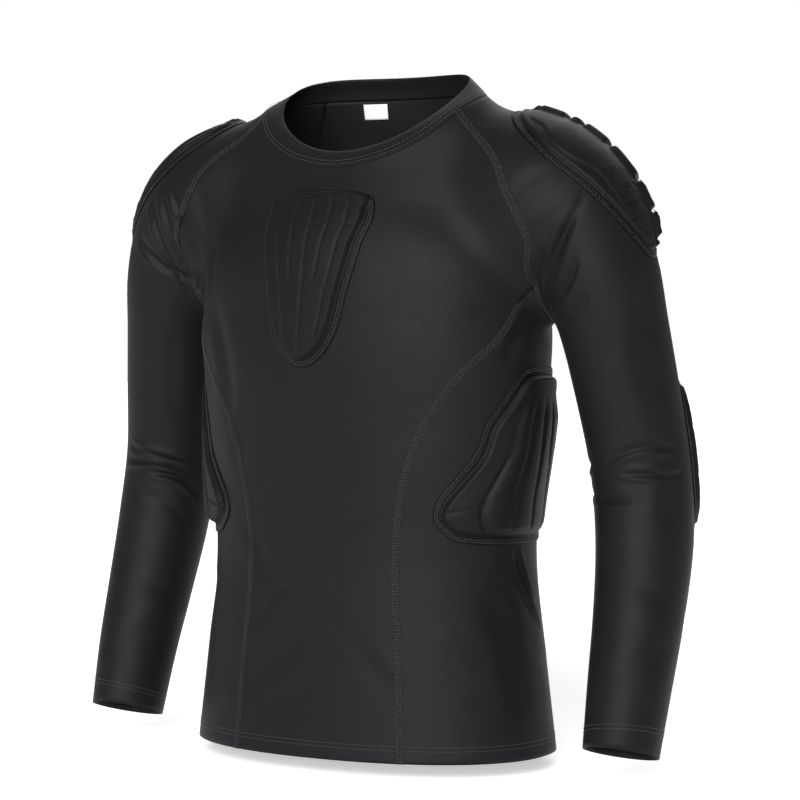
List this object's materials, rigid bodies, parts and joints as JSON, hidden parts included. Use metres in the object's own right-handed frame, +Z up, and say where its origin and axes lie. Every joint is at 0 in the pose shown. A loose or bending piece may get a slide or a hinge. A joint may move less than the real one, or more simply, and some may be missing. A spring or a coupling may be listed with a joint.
{
  "type": "padded compression shirt",
  "caption": "Long-sleeved raglan compression shirt, filled out as worn, with foam pads sewn to its chest, shoulders, ribs and elbows.",
  "frame": {"origin": "between the shoulders at the level of the neck's sides, where the wearer holds the shirt up", "axes": "+X to the wearer's left, -Y to the front, +Z up"},
  "size_m": [0.5466, 0.2088, 0.5583],
  "materials": {
    "jersey": "black smooth stretch jersey with a soft satin sheen",
    "pad_jersey": "the same black jersey drawn over moulded foam",
    "label_tape": "white woven label, bare"
  },
  "bodies": {
    "root": {"front_panel": "jersey", "back_panel": "jersey", "side_panel_left": "jersey", "side_panel_right": "jersey", "sleeve_left": "jersey", "sleeve_right": "jersey", "collar": "jersey", "chest_pad": "pad_jersey", "shoulder_pad_left": "pad_jersey", "shoulder_pad_right": "pad_jersey", "rib_pad_left": "pad_jersey", "rib_pad_right": "pad_jersey", "elbow_pad_left": "pad_jersey", "elbow_pad_right": "pad_jersey", "size_label": "label_tape"}
  },
  "joints": []
}
